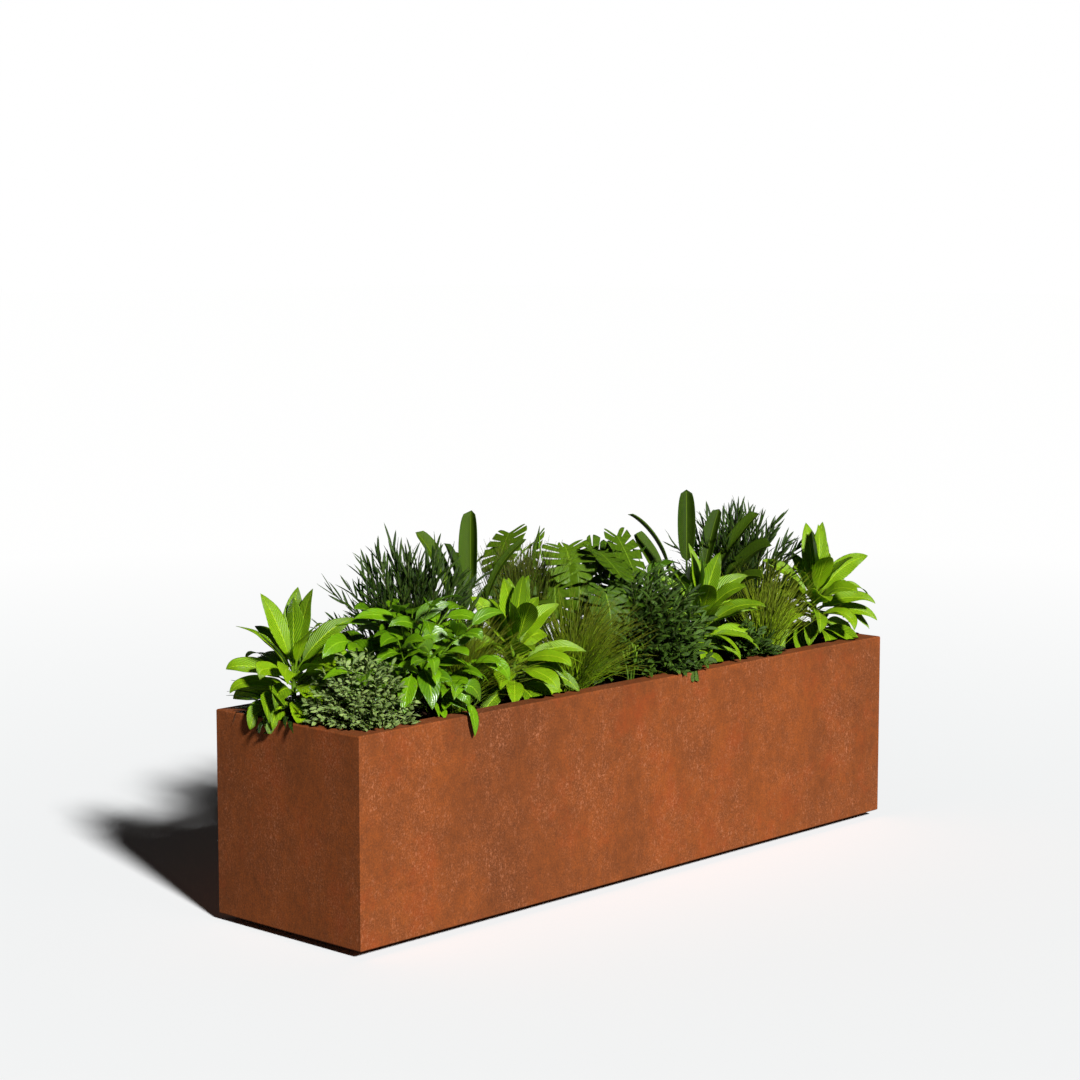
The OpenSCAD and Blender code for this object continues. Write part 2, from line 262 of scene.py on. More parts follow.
wall_rust = rust("weathered_wall", rgb(87, 46, 22), rgb(113, 59, 26), rgb(141, 72, 28),
                 rgb(136, 58, 22), rgb(168, 106, 74), 0.75)
inner_rust = rust("weathered_inside", rgb(60, 31, 20), rgb(84, 43, 26), rgb(104, 54, 30),
                  rgb(92, 40, 24), rgb(130, 86, 64), 0.4)
print("rust finishes", wall_rust.name, inner_rust.name)

# %% [markdown]
# The remaining fixed parts are small or hidden: zinc-plated nuts and studs with a faint crystal
# pattern, moulded black plastic for pads and outlets, fired clay pebbles, white felted fleece and
# dark crumbly soil. Each could have a recipe of its own; one noise pattern that shifts colour,
# gloss and relief together is enough at their size.

# %% Plain finishes for small and hidden parts
def plain(name, low, high, scale, rough=(0.5, 0.7), metal=0.0, relief=0.0003, gloss=0.3):
    """One noise turns the colour from low to high and lifts the surface; gloss is its shine."""
    material, tree, output = finish_named(name)
    place = wire(tree, "TexCoord").outputs["Object"]
    speckle = grain(tree, place, scale)
    colour = ramp(tree, speckle, (0.3, low), (0.7, high))
    dull = wire(tree, "MapRange", {0: speckle, 3: rough[0], 4: rough[1]}).outputs[0]
    lift = wire(tree, "Bump", {"Height": speckle, "Strength": 0.5, "Distance": relief}).outputs[0]
    surface(tree, output, Base_Color=colour, Roughness=dull, Metallic=metal, Normal=lift,
            Specular_IOR_Level=gloss)
    return material


FINISHES = {
    "corten_wall": wall_rust,
    "corten_inner": inner_rust,
    "zinc_fastener": plain(
        "zinc_plate", rgb(150, 152, 154), rgb(205, 207, 208), 160, (0.28, 0.45), 1.0, 0.0001),
    "black_plastic": plain("moulded_plastic", rgb(24, 25, 27), rgb(44, 46, 48), 900, (0.5, 0.62)),
    "clay_pebbles": plain("fired_clay", rgb(104, 62, 42), rgb(176, 118, 84), 90, (0.8, 0.95)),
    "white_fleece": plain("felt", rgb(196, 194, 186), rgb(228, 226, 220), 700, (0.9, 0.98)),
    "dark_soil": plain(
        "crumbly_soil", rgb(24, 17, 13), rgb(58, 42, 32), 120, (0.85, 0.98), 0, 0.002, 0.08),
}
slot_of = {p["node"]: p["material_slot"] for p in frame["record"]["subparts"]}
for node_name, part in frame["nodes"].items():
    if slot_of[node_name] in FINISHES:
        part.data.materials.clear()
        part.data.materials.append(FINISHES[slot_of[node_name]])
print("finished parts", sum(slot_of[n] in FINISHES for n in frame["nodes"]))

# %% [markdown]
# The studio floor is a wide pale sheet. A curved backdrop would show its bend from the other
# sides, so the sheet is flat, and it meets the white background without an edge. Round the box
# its colour holds painted shade: it is darker within a metre of the middle and lightens with
# distance, and there it is tinted a little blue-green to cancel the orange light that the steel
# throws on it. To every ray but the eye's it is a dark grey, which keeps the undersides of the
# leaves dark, and the panel doesn't light it.

# %% Floor
FLOOR_REACH = 60.0
# painted shade: the near colour is darker than the far one, and tinted blue-green against the orange
# light reflected from the steel
FLOOR_NEAR_SHADE, FLOOR_FAR = (0.862, 0.874, 0.884), (0.99, 0.99, 0.995)
FLOOR_TO_OTHER_RAYS = (0.25, 0.255, 0.27, 1)

corners = np.array([(-1, -1, 0), (1, -1, 0), (1, 1, 0), (-1, 1, 0)]) * FLOOR_REACH
floor_mesh = bpy.data.meshes.new("floor")
floor_mesh.from_pydata(corners.tolist(), [], [(0, 1, 2, 3)])
floor = bpy.data.objects.new("floor", floor_mesh)
scene.collection.objects.link(floor)
floor_paper, tree, output = finish_named("floor_paper")
place = wire(tree, "TexCoord").outputs["Object"]
away = wire(tree, "VectorMath", {0: place}, operation="LENGTH").outputs["Value"]
# painted shade: the floor goes from the near colour within a metre of the box's middle to the far one
# seven metres out
shade_fade = wire(tree, "MapRange", {0: away, 1: 1.0, 2: 7.0}).outputs[0]
sheet_colour = ramp(tree, shade_fade, (0.0, FLOOR_NEAR_SHADE), (1.0, FLOOR_FAR))
pale = wire(tree, "BsdfDiffuse", {"Color": sheet_colour}).outputs[0]
dull = wire(tree, "BsdfDiffuse", {"Color": FLOOR_TO_OTHER_RAYS}).outputs[0]
to_eye = wire(tree, "LightPath").outputs["Is Camera Ray"]
sheet = wire(tree, "MixShader", {0: to_eye, 1: dull, 2: pale}).outputs[0]
tree.links.new(sheet, output.inputs["Surface"])
floor_mesh.materials.append(floor_paper)

kept_out = bpy.data.collections.new("not_lit_from_behind")
kept_out.objects.link(floor)
kept_out.collection_objects[0].light_linking.link_state = "EXCLUDE"
panel.light_linking.receiver_collection = kept_out
print("floor", 2 * FLOOR_REACH, "m wide")

# %% [markdown]
# ## The sleeve
# Every green thing here is the same kind of surface: a flat ring of points that travels along a
# bent midline, opens to the outline of the leaf and closes again. A closed ring has a top and an
# underside, so the leaf is a real thin body. One call bends a whole set of leaves, because each
# quantity is an array with one entry for each leaf.

# %% Directions and outlines
def headings(turn, rise):
    """Unit vectors along, across and up for a compass turn and a rise, both in radians.

    Along is (cos turn cos rise, sin turn cos rise, sin rise), across is level and square to it,
    and up is the cross product of the two.
    """
    along = np.stack([np.cos(turn) * np.cos(rise), np.sin(turn) * np.cos(rise), np.sin(rise)], -1)
    across = np.stack([-np.sin(turn), np.cos(turn), np.zeros_like(turn)], -1)
    return along, across, np.cross(along, across)


def blade(s, start, end):
    """Half width from 0 to 1: s to the power start times (1 - s) to the power end, scaled to 1."""
    peak = start / (start + end)
    shape = np.clip(s, 0, 1) ** start * np.clip(1 - s, 0, 1) ** end
    return shape / (peak ** start * (1 - peak) ** end)


def column(value, count):
    """Any number or list as a column with one entry for each leaf."""
    return np.broadcast_to(np.asarray(value, float).reshape(-1, 1), (count, 1))


def midlines(root, turn, rise, length, droop, bow, sway, steps):
    """Bent lines from each root, with the directions along, across and up on them.

    At the share u of its length a line climbs at rise - droop * u^bow and heads to
    turn + sway * u. Its points are the running sum of equal steps in those directions.
    """
    u = np.linspace(0, 1, steps)[None, :]
    along, across, up = headings(turn + sway * u, rise - droop * u ** bow)
    step = along * (length / (steps - 1))[..., None]
    return u, root[:, None, :] + np.cumsum(step, 1) - step, along, across, up


print("a leaf is widest at", blade(np.linspace(0, 1, 101), 0.6, 0.8).argmax() / 100, "of its length")

# %% [markdown]
# A leaf could be a flat card with a picture of its outline, but its edge would be thin and its
# cuts would be painted. Here the outline, the fold along the midrib, the waves of the edge and
# the thickness are all formulas of the place s along the blade and the place v across it, so the
# edge, the cuts and the midrib are true shape.

# %% Leaves as closed sleeves
SUN = np.array(SUNWARD)


def leaves(root, turn, rise, length, width, shape=(0.6, 0.8), rows=20, ring=12, stalk=0.0,
           stalk_r=0.0012, droop=0.6, bow=1.3, sway=0.0, roll=0.0, twist=0.0, fold=0.2,
           wave=0.0, waves=3.0, thick=0.0004, slant=0.0, cut=None, seek=0.0):
    """Leaves on bent midlines, as points (leaf, row, ring, 3) and their uv.

    Ring: v = cos(a) across the blade and sin(a) through its thickness, a from 0 to a full turn.
    Half width: width / 2 * blade(s), with s from 0 to 1 past the stalk, times cut if given.
    Lift: fold * |v| raises both sides to a V, and wave ripples the edge.
    Depth: the blade is thick all over, and swells to the stalk's radius at the midrib.
    Roll: roll + twist * u, plus the share seek of the angle that would face the sun.
    Slant: moves each point along the leaf by slant * |v| * half width.
    """
    n = len(root)
    length, width, rise, turn, droop, bow, sway, roll, twist, fold, wave = (
        column(q, n) for q in (length, width, rise, turn, droop, bow, sway, roll, twist, fold, wave))
    u, midline, along, across, up = midlines(root, turn, rise, length, droop, bow, sway, rows)
    s = np.clip((u - stalk) / (1 - stalk), 0, 1)
    a = np.arange(ring) * 2 * np.pi / ring
    v, through = np.cos(a), np.sin(a)
    half = width / 2 * blade(s, *shape)
    stem = stalk_r * (1.15 - u) * (u < 0.97)
    reach = np.maximum(half[..., None] * (1 if cut is None else cut(s, v)), stem[..., None])
    body = np.maximum(thick * (s > 0), stem * np.where(s > 0, 0.75 * (1 - s) ** 0.7, 1.0))
    midrib = np.exp(-(v / 0.22) ** 2) * (s > 0)[..., None]
    depth = thick + (body - thick)[..., None] * np.where((s > 0)[..., None], midrib, 1.0)
    side = np.abs(v) * half[..., None]
    phase = 2 * np.pi * (waves * u + np.arange(n)[:, None] * 0.37)
    lift = fold[..., None] * np.abs(v) * reach + wave[..., None] * side * np.sin(phase)[..., None]
    lift = lift + depth * through
    to_sun = np.arctan2(-across @ SUN, np.maximum(up @ SUN, 0.15))
    turned = (roll + twist * u + seek * to_sun)[..., None]
    level = across * np.cos(turned) + up * np.sin(turned)
    above = up * np.cos(turned) - across * np.sin(turned)
    lean = (slant(s) if callable(slant) else slant) * np.ones_like(u)
    points = (midline[:, :, None, :] + level[:, :, None, :] * (v * reach)[..., None]
              + above[:, :, None, :] * lift[..., None]
              + along[:, :, None, :] * (lean[..., None] * np.abs(v) * reach)[..., None])
    uv = np.stack(np.broadcast_arrays(s[..., None] * np.ones((n, 1, 1)), v * 0.5 + 0.5), -1)
    return points, uv


one_leaf = leaves(np.zeros((1, 3)), 0.0, 1.2, 0.2, 0.08)[0]
print("a leaf of 200 mm:", one_leaf.shape[1], "rings of", one_leaf.shape[2], "points, its tip at",
      one_leaf[0, -1].mean(0).round(3))

# %% [markdown]
# Stalks, shoots and twigs follow the same kind of midline, and a round ring is carried along it.
# Curve objects with a bevel would do as well, one for each twig; an array of paths makes all the
# twigs of a shrub at once, and leaves can then be seated on the same paths.

# %% Stems as round sleeves
def stems(path, radius, ring=5):
    """Round tubes along paths (count, steps, 3), with a radius for each step.

    Ring: radius * (cos(a) across + sin(a) up), both square to the path, a over a full turn.
    """
    chord = path[:, -1] - path[:, 0]
    turn = np.arctan2(chord[:, 1], chord[:, 0])
    across = np.stack([-np.sin(turn), np.cos(turn), np.zeros_like(turn)], -1)[:, None, :]
    along = np.gradient(path, axis=1)
    along /= np.linalg.norm(along, axis=-1, keepdims=True) + 1e-12
    up = np.cross(along, across)
    up /= np.linalg.norm(up, axis=-1, keepdims=True) + 1e-12
    across = np.cross(up, along)
    a = np.arange(ring) * 2 * np.pi / ring
    radius = np.broadcast_to(radius, path.shape[:2])[..., None, None]
    around = across[:, :, None, :] * np.cos(a)[:, None] + up[:, :, None, :] * np.sin(a)[:, None]
    points = path[:, :, None, :] + around * radius
    u = np.linspace(0, 1, path.shape[1])[None, :, None]
    uv = np.stack(np.broadcast_arrays(u * np.ones((len(path), 1, 1)), a / (2 * np.pi)), -1)
    return points, uv


def arcs(root, turn, rise, length, droop=0.4, bow=1.3, sway=0.0, steps=8):
    """Bent midlines alone, (count, steps, 3), by the same rule as the leaves'."""
    n = len(root)
    turn, rise, length, droop, bow, sway = (
        column(q, n) for q in (turn, rise, length, droop, bow, sway))
    return midlines(root, turn, rise, length, droop, bow, sway, steps)[1]


one_arc = arcs(np.zeros((1, 3)), 0.0, 1.2, 0.3)
print("a shoot of 300 mm ends at", one_arc[0, -1].round(3))

# %% [markdown]
# Leaves that sit on a twig point away from it at an angle and follow each other in a spiral. The
# step of the spiral is the golden angle, which real shoots keep too, because then no leaf stands
# right over another. `seats` finds those places and directions along any set of twigs.

# %% Seats for leaves on twigs
GOLDEN = math.radians(137.5)


def seats(path, each, first, splay, rng, jitter):
    """Root, turn and rise of `each` leaves on every path, from the share `first` to the tip.

    A leaf leaves its twig at the angle splay * (1 - 0.45 t), which closes towards the tip, and
    stands round it at the golden angle times its number, give or take the jitter.
    """
    n, steps, _ = path.shape
    t = np.linspace(first, 0.985, each)
    where = t * (steps - 1)
    low = np.minimum(where.astype(int), steps - 2)
    part = (where - low)[None, :, None]
    root = path[:, low] * (1 - part) + path[:, low + 1] * part
    along = path[:, low + 1] - path[:, low]
    along /= np.linalg.norm(along, axis=-1, keepdims=True)
    turn = np.arctan2(along[..., 1], along[..., 0])
    across = np.stack([-np.sin(turn), np.cos(turn), np.zeros_like(turn)], -1)
    up = np.cross(along, across)
    a = GOLDEN * np.arange(each)[None, :] + np.arange(n)[:, None] * 1.7
    a = a + rng.normal(0, jitter, a.shape)
    open_by = splay * (1.0 - 0.45 * t)[None, :, None]
    out = (along * np.cos(open_by)
           + (across * np.cos(a)[..., None] + up * np.sin(a)[..., None]) * np.sin(open_by))
    flat = out.reshape(-1, 3)
    rise = np.arcsin(np.clip(flat[:, 2], -1, 1))
    return root.reshape(-1, 3), np.arctan2(flat[:, 1], flat[:, 0]), rise


one_twig = seats(one_arc, 6, 0.3, 0.8, np.random.default_rng(0), 0.0)
print("six leaves on a shoot head to", np.degrees(one_twig[1]).round(), "degrees")

# %% [markdown]
# A plant keeps to its bed. Leaves that would sink into the bark lie on it, leaves that cross the
# rim rest on the steel, and long tips bend in before they stand out past the box. A simulation
# could let each leaf find its rest; a smooth limit on each coordinate does it in one step.

# %% Where plants may reach
rim_low, rim_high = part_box("front_panel"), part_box("back_panel")
RIM_TOP = rim_low[1][2]
WALL_X, WALL_Y = rim_low[1][0], rim_high[1][1]
RIM_INSIDE_Y = rim_high[0][1]
RIM_INSIDE_X = WALL_X - (WALL_Y - RIM_INSIDE_Y)
MULCH_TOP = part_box("bark_mulch")[1][2]
CROWN_TOP = cad_high[2]
SKIN = 0.002  # gap between a leaf and what it lies on
HANG = 0.030  # how far a tip may hang below the rim outside
BEND_X, BEND_Y, BEND_Z = 0.020, 0.035, 0.02
PROUD_X, PROUD_Y, PROUD_Z = 0.032, 0.020, 0.03


def ease(value, start, limit):
    """Past start, draw a value in so that it never passes limit, by a tanh curve."""
    over = np.abs(value) - start
    drawn = start + (limit - start) * np.tanh(np.maximum(over, 0) / (limit - start))
    return np.where(over > 0, np.sign(value) * drawn, value)


def settle(points):
    """Keep leaves over the bed, on the bark and on the rim.

    Tips bend from BEND inside the walls and stand at most PROUD past them. The ground is the
    bark, the rim over the steel, and HANG under the rim outside it.
    """
    x = ease(points[..., 0], WALL_X - BEND_X, WALL_X + PROUD_X)
    y = ease(points[..., 1], WALL_Y - BEND_Y, WALL_Y + PROUD_Y)
    over_rim = (np.abs(x) > RIM_INSIDE_X - SKIN) | (np.abs(y) > RIM_INSIDE_Y - SKIN)
    past_wall = (np.abs(x) > WALL_X + SKIN) | (np.abs(y) > WALL_Y + SKIN)
    ground = np.where(over_rim, RIM_TOP + SKIN, MULCH_TOP + SKIN)
    ground = np.where(past_wall, RIM_TOP - HANG, ground)
    z = np.maximum(points[..., 2], ground)
    z = ease(z, CROWN_TOP - BEND_Z, CROWN_TOP + PROUD_Z)
    return np.stack([x, y, z], -1)


print("rim top", RIM_TOP, "bed", RIM_INSIDE_X, RIM_INSIDE_Y, "bark", MULCH_TOP)

# %% [markdown]
# `knit` turns sets of sleeves into one mesh. A sleeve with R rings of C points has (R - 1) * C
# four-sided faces and a fan that closes each end. The map of faces is made for one sleeve and
# shifted for all the others. An object for each leaf would be easier to pick, but ten thousand
# objects are slow to draw, so a plant is one piece. Each leaf carries a tone from 0 to 1, so that
# no two look dyed in the same bath, and a UV map with u along the leaf and v across it.

# %% From sleeves to a mesh
def sleeve_faces(rows, ring):
    """Faces of one closed sleeve, wound so that they look outwards."""
    r, c = np.meshgrid(np.arange(rows - 1), np.arange(ring), indexing="ij")
    d = (c + 1) % ring
    quads = np.stack([r * ring + c, r * ring + d, (r + 1) * ring + d, (r + 1) * ring + c], -1)
    c = np.arange(ring)
    d = (c + 1) % ring
    base, tip, last = rows * ring, rows * ring + 1, (rows - 1) * ring
    fan_low = np.stack([np.full(ring, base), d, c], -1)
    fan_high = np.stack([np.full(ring, tip), last + c, last + d], -1)
    return quads.reshape(-1, 4), np.concatenate([fan_low, fan_high])


def knit(name, sets, node, rng, loose=False):
    """One mesh from sets of (points, uv, material), riding on the box in place of a node.

    A loose piece isn't settled: its points stay where they are.
    """
    verts, uvs, tones, faces, marks, first = [], [], [], [], [], 0
    palette = list(dict.fromkeys(m for _, _, m in sets))
    for points, uv, material in sets:
        n, rows, ring, _ = points.shape
        ends = np.stack([points[:, 0].mean(1), points[:, -1].mean(1)], 1)
        uv_ends = np.stack([uv[:, 0].mean(1), uv[:, -1].mean(1)], 1)
        flat = np.concatenate([points.reshape(n, -1, 3), ends], 1)
        verts.append(flat.reshape(-1, 3))
        uvs.append(np.concatenate([uv.reshape(n, -1, 2), uv_ends], 1).reshape(-1, 2))
        tones.append(np.repeat(rng.random(n), flat.shape[1]))
        shift = first + np.arange(n)[:, None, None] * flat.shape[1]
        for part in sleeve_faces(rows, ring):
            some = (part[None] + shift).reshape(-1, part.shape[1])
            faces.extend(some.tolist())
            marks.append(np.full(len(some), palette.index(material)))
        first += flat.shape[0] * flat.shape[1]
    where = np.concatenate(verts)
    mesh = bpy.data.meshes.new(name)
    mesh.from_pydata((where if loose else settle(where)).tolist(), [], faces)
    for material in palette:
        mesh.materials.append(material)
    mesh.polygons.foreach_set("material_index", np.concatenate(marks).astype(np.int32))
    mesh.polygons.foreach_set("use_smooth", np.ones(len(faces), bool))
    corner = np.empty(len(mesh.loops), np.int32)
    mesh.loops.foreach_get("vertex_index", corner)
    layer = mesh.uv_layers.new(name="leaf")
    layer.data.foreach_set("uv", np.concatenate(uvs)[corner].ravel())
    tone = mesh.attributes.new("tone", "FLOAT", "POINT")
    tone.data.foreach_set("value", np.concatenate(tones))
    piece = bpy.data.objects.new(name, mesh)
    scene.collection.objects.link(piece)
    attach(piece, "planter")
    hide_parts(node)
    print(name, len(where), "points", len(faces), "faces")


print("a sleeve of 4 rings of 3 points has", sum(len(f) for f in sleeve_faces(4, 3)), "faces")

# %% [markdown]
# A leaf's colour comes from three things: its own tone, the veins that its UV map places, and a
# soft mottling in space. The midrib is a pale line where v is a half. Side veins are a wave whose
# phase grows along the leaf and falls away from the midrib, so that they slant to the tip. The
# same wave lifts the surface between them, which is what gives ribbed leaves their sheen. Real
# leaves also let some light through: that is a thin layer of light scattered under the surface,
# which goes furthest in green.

# %% Leaf finish
def leaf_finish(name, deep, fresh, vein, veins=14, slope=0.9, rib_share=0.5, lift=0.0005,
                rough=0.42, midrib=0.05, tip=None, gloss=0.5, glow=0.35):
    """Leaf colour: deep to fresh by tone and mottling, lighter on the midrib and the veins.

    Veins: (sin(2 pi veins (u - slope |v - 1/2|)) / 2 + 1/2)^5, shown by the share rib_share.
    Relief: the same wave, lift high, and the midrib sunk. Glow is the share of light that
    goes through the leaf.
    """
    material, tree, output = finish_named(name)
    place = wire(tree, "TexCoord").outputs["Object"]
    uv = wire(tree, "UVMap", uv_map="leaf").outputs[0]
    split = wire(tree, "SeparateXYZ", {0: uv}).outputs
    u = split[0]
    off = sums(tree, "ABSOLUTE", sums(tree, "SUBTRACT", split[1], 0.5))
    tone = wire(tree, "Attribute", attribute_name="tone").outputs["Fac"]
    mottle = grain(tree, place, 38, detail=3.0)
    share = sums(tree, "ADD", sums(tree, "MULTIPLY", tone, 0.75),
                 sums(tree, "MULTIPLY", mottle, 0.35))
    colour = ramp(tree, share, (0.12, deep), (0.92, fresh))
    if tip is not None:
        end = wire(tree, "MapRange", {0: u, 1: 0.35, 2: 1.0}).outputs[0]
        colour = blend(tree, end, colour, (*tip, 1))
    phase = sums(tree, "MULTIPLY", sums(tree, "SUBTRACT", u, sums(tree, "MULTIPLY", off, slope)),
                 veins * 2 * math.pi)
    ripple = sums(tree, "ADD", sums(tree, "MULTIPLY", sums(tree, "SINE", phase), 0.5), 0.5)
    ribs = sums(tree, "POWER", ripple, 5.0)
    centre = wire(tree, "MapRange", {0: off, 1: midrib, 2: midrib * 0.3}).outputs[0]
    line = sums(tree, "MAXIMUM", sums(tree, "MULTIPLY", ribs, rib_share), centre, True)
    colour = blend(tree, line, colour, (*vein, 1))
    height = sums(tree, "SUBTRACT", sums(tree, "MULTIPLY", ripple, -1.0), centre)
    bump = wire(tree, "Bump", {"Height": height, "Strength": 0.6, "Distance": lift}).outputs[0]
    wax = wire(tree, "MapRange", {0: mottle, 3: rough - 0.08, 4: rough + 0.1}).outputs[0]
    surface(tree, output, Base_Color=colour, Roughness=wax, Normal=bump, Specular_IOR_Level=gloss,
            Subsurface_Weight=glow, Subsurface_Radius=(0.6, 1.0, 0.15), Subsurface_Scale=0.002)
    return material


def stem_finish(name, low, high, rough=0.55, gloss=0.3):
    """Stalk colour from the root up, with lengthwise fibres."""
    material, tree, output = finish_named(name)
    place = wire(tree, "TexCoord").outputs["Object"]
    uv = wire(tree, "UVMap", uv_map="leaf").outputs[0]
    u = wire(tree, "SeparateXYZ", {0: uv}).outputs[0]
    fibre = grain(tree, place, 300, (1, 1, 0.1))
    share = sums(tree, "ADD", u, sums(tree, "MULTIPLY", sums(tree, "SUBTRACT", fibre, 0.5), 0.6))
    colour = ramp(tree, share, (0.05, low), (0.95, high))
    bump = wire(tree, "Bump", {"Height": fibre, "Strength": 0.4, "Distance": 0.0004}).outputs[0]
    surface(tree, output, Base_Color=colour, Roughness=rough, Normal=bump, Specular_IOR_Level=gloss)
    return material


lime_leaf = leaf_finish("lime_leaf", rgb(70, 106, 4), rgb(114, 152, 5), rgb(146, 178, 24),
                        veins=12, rib_share=0.7, lift=0.0018, rough=0.42, gloss=0.30)
silver_leaf = leaf_finish("silver_leaf", rgb(78, 99, 44), rgb(138, 160, 88), rgb(150, 172, 104),
                          veins=4, rib_share=0.15, rough=0.55, gloss=0.3)
glossy_leaf = leaf_finish("glossy_leaf", rgb(60, 98, 3), rgb(98, 142, 8), rgb(120, 160, 24),
                          veins=7, rib_share=0.22, lift=0.0006, rough=0.30, gloss=0.45)
laurel_leaf = leaf_finish("laurel_leaf", rgb(48, 82, 6), rgb(84, 124, 14), rgb(104, 144, 34),
                          veins=9, rib_share=0.25, lift=0.0006, rough=0.36, gloss=0.4)
fine_leaf = leaf_finish("fine_leaf", rgb(22, 38, 8), rgb(64, 92, 22), rgb(76, 104, 32),
                        veins=5, rib_share=0.15, rough=0.55, gloss=0.22)
feather_leaf = leaf_finish("feather_leaf", rgb(24, 42, 8), rgb(54, 76, 20), rgb(64, 88, 30),
                           veins=3, rib_share=0.1, rough=0.5, gloss=0.25)
paddle_leaf = leaf_finish("paddle_leaf", rgb(34, 54, 3), rgb(60, 84, 5), rgb(92, 116, 18),
                          veins=34, slope=0.25, rib_share=0.10, lift=0.0006, rough=0.6,
                          midrib=0.030, gloss=0.12)
split_leaf = leaf_finish("split_leaf", rgb(38, 64, 3), rgb(74, 102, 6), rgb(104, 134, 24),
                         veins=8, slope=0.7, rib_share=0.15, lift=0.001, rough=0.5, midrib=0.025,
                         gloss=0.22)
olive_blade = leaf_finish("olive_blade", rgb(26, 48, 2), rgb(124, 156, 9), rgb(110, 130, 30),
                          veins=1, rib_share=0.0, rough=0.6, tip=rgb(94, 98, 10), gloss=0.2)
light_blade = leaf_finish("light_blade", rgb(16, 36, 2), rgb(158, 192, 24), rgb(130, 150, 40),
                          veins=1, rib_share=0.0, rough=0.6, tip=rgb(104, 112, 16), gloss=0.2,
                          glow=0.0)
red_blade = leaf_finish("red_blade", rgb(34, 62, 4), rgb(84, 116, 16), rgb(100, 110, 30),
                        veins=1, rib_share=0.0, rough=0.6, tip=rgb(68, 70, 14), gloss=0.2)
green_stem = stem_finish("green_stem", rgb(50, 80, 6), rgb(92, 126, 14))
brown_twig = stem_finish("brown_twig", rgb(44, 32, 18), rgb(60, 72, 24))
# painted shade: the straps are real leaves, coloured very dark for the shade under the rosettes
shaded_strap_leaf = leaf_finish("shaded_strap_leaf", rgb(14, 28, 6), rgb(34, 56, 12), rgb(48, 72, 22),
                         veins=1, rib_share=0.0, rough=0.45, gloss=0.3)
print("finishes", sorted(m.name for m in bpy.data.materials))

# %% [markdown]
# ## The bark
# The bed is dressed with dark composted bark. A bumpy sheet gives the ground, and loose chips
# lie over it. They could be dropped with rigid bodies; strewn at random, each a little tilted,
# they look the same. A chip is a short, thick leaf with no stalk, so the same sleeve makes it.

# %% Bark mulch
SHEET_ACROSS, SHEET_DEEP = 260, 66
SHEET_SINK, BUMP = 0.003, 0.0022
CHIPS, CHIP_MARGIN = 3200, 0.035


def bumps(x, y, rng, count=40, fine=90.0):
    """A sum of small waves that run in every direction, about -1 to 1."""
    total = np.zeros_like(x)
    for _ in range(count):
        a, k, p = rng.random() * 2 * np.pi, fine * (0.2 + rng.random()), rng.random() * 6.3
        total += np.sin((x * np.cos(a) + y * np.sin(a)) * k + p)
    return total / np.sqrt(count)


def bark_sheet():
    """Ground of the bed: a grid at the bark's top less the sink plus the bumps, made thick."""
    rng = np.random.default_rng(3)
    (x0, y0, z0), (x1, y1, z1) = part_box("bark_mulch")
    across, deep = SHEET_ACROSS, SHEET_DEEP
    x, y = np.meshgrid(np.linspace(x0, x1, across), np.linspace(y0, y1, deep))
    z = z1 - SHEET_SINK + BUMP * bumps(x, y, rng)
    mesh = bpy.data.meshes.new("bark_sheet")
    i = (np.arange(deep - 1)[:, None] * across + np.arange(across - 1)[None]).ravel()
    faces = np.stack([i, i + 1, i + 1 + across, i + across], -1)
    mesh.from_pydata(np.stack([x, y, z], -1).reshape(-1, 3).tolist(), [], faces.tolist())
    mesh.polygons.foreach_set("use_smooth", np.ones(len(faces), bool))
    piece = bpy.data.objects.new("bark_sheet", mesh)
    scene.collection.objects.link(piece)
    thick = piece.modifiers.new("thick", "SOLIDIFY")
    thick.thickness, thick.offset = (z1 - z0) * 0.6, -1
    mesh.materials.append(bark)
    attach(piece, "planter")
    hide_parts("bark_mulch")
    print("bark sheet", len(faces), "faces")


bark = plain("composted_bark", rgb(16, 11, 9), rgb(52, 37, 28), 140, (0.8, 0.97), 0, 0.002, 0.08)
chip_bark = stem_finish("bark_chip", rgb(26, 17, 12), rgb(66, 45, 32), 0.9, 0.08)
bark_sheet()
rng = np.random.default_rng(4)
spots = np.stack([rng.uniform(-1, 1, CHIPS) * (WALL_X - CHIP_MARGIN),
                  rng.uniform(-1, 1, CHIPS) * (WALL_Y - CHIP_MARGIN),
                  MULCH_TOP - SHEET_SINK + rng.uniform(0, 2 * SHEET_SINK, CHIPS)], -1)
chips = leaves(spots, rng.uniform(0, 6.3, CHIPS), rng.normal(0, 0.25, CHIPS),
               rng.uniform(0.010, 0.030, CHIPS), rng.uniform(0.006, 0.013, CHIPS), (0.2, 0.25),
               rows=4, ring=6, thick=0.0018, droop=0.1, roll=rng.normal(0, 0.3, CHIPS), fold=0.1)
knit("bark_chips", [(*chips, chip_bark)], "bark_mulch", rng, loose=True)

# %% [markdown]
# ## Lime rosettes
# Four of these carry the planting: bright ribbed leaves on slim stalks from one crown. The young
# leaves stand up in the middle, and each whorl outside them is shorter and droops more, so one
# line of sizes for each whorl says the whole plant. Under the left and right ones a few narrow
# straps show: real leaves, whose very dark colour is painted shade under the rosette.

# %% Lime rosette
def spot_of(node, dx=0.0, dy=0.0):
    """Where a plant leaves the ground: the middle of its fixed crown, at the bark."""
    low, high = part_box(node)
    return np.array([(low[0] + high[0]) / 2 + dx, (low[1] + high[1]) / 2 + dy, MULCH_TOP])


def crown_height(node):
    """Height of a plant's fixed crown above the bark."""
    low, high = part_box(node)
    return high[2] - low[2]


def around(count, rng, start, jitter):
    """Compass turns spread evenly round a full circle, each a little off its place."""
    return start + np.arange(count) * 2 * np.pi / count + rng.normal(0, jitter, count)


